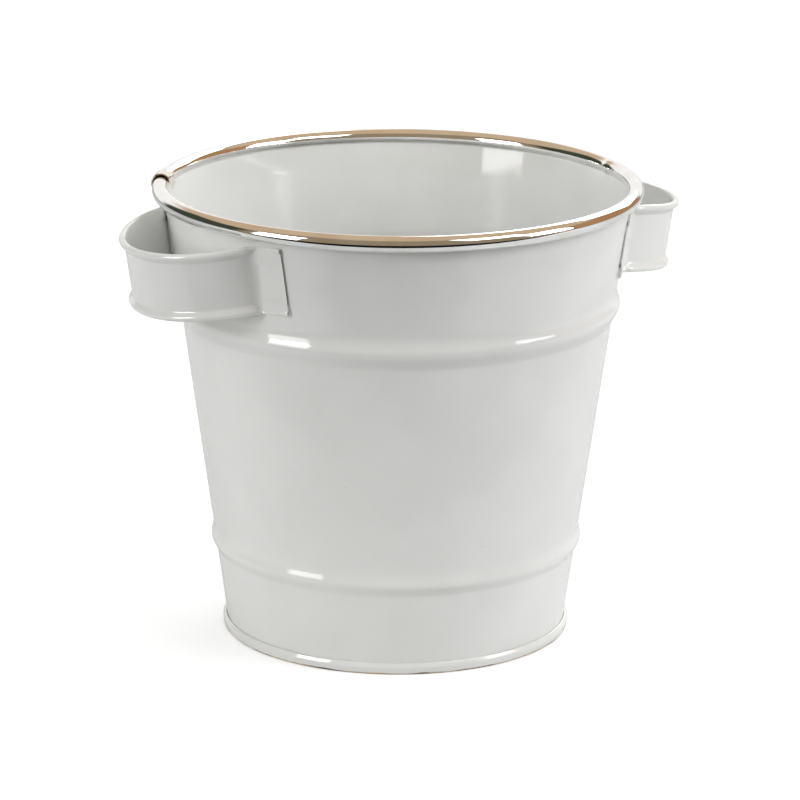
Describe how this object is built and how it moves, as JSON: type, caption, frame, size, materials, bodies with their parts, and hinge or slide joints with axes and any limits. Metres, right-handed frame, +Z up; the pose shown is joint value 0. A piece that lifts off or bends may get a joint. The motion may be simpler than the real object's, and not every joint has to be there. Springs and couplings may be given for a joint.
{
  "type": "florist bucket",
  "caption": "Small tapered enamelled-steel bucket with a chrome tube rim, swaged ridges and strap handles on opposite sides.",
  "frame": {"origin": "centre of the footprint, on the surface that the bucket stands on", "axes": "+Z up along the bucket's axis, +X towards the right handle, handles along X"},
  "size_m": [0.2676, 0.22, 0.2078],
  "materials": {
    "enamel": "glossy warm white baked enamel on steel sheet",
    "chrome": "bright chrome plate on steel tube",
    "sealant": "dull grey lining compound, hidden in the seam"
  },
  "bodies": {
    "root": {"body_wall": "enamel", "base_pan": "enamel", "base_seal": "sealant", "rim_tube": "chrome", "rim_ferrule": "chrome", "handle_left": "enamel", "handle_right": "enamel"}
  },
  "joints": []
}
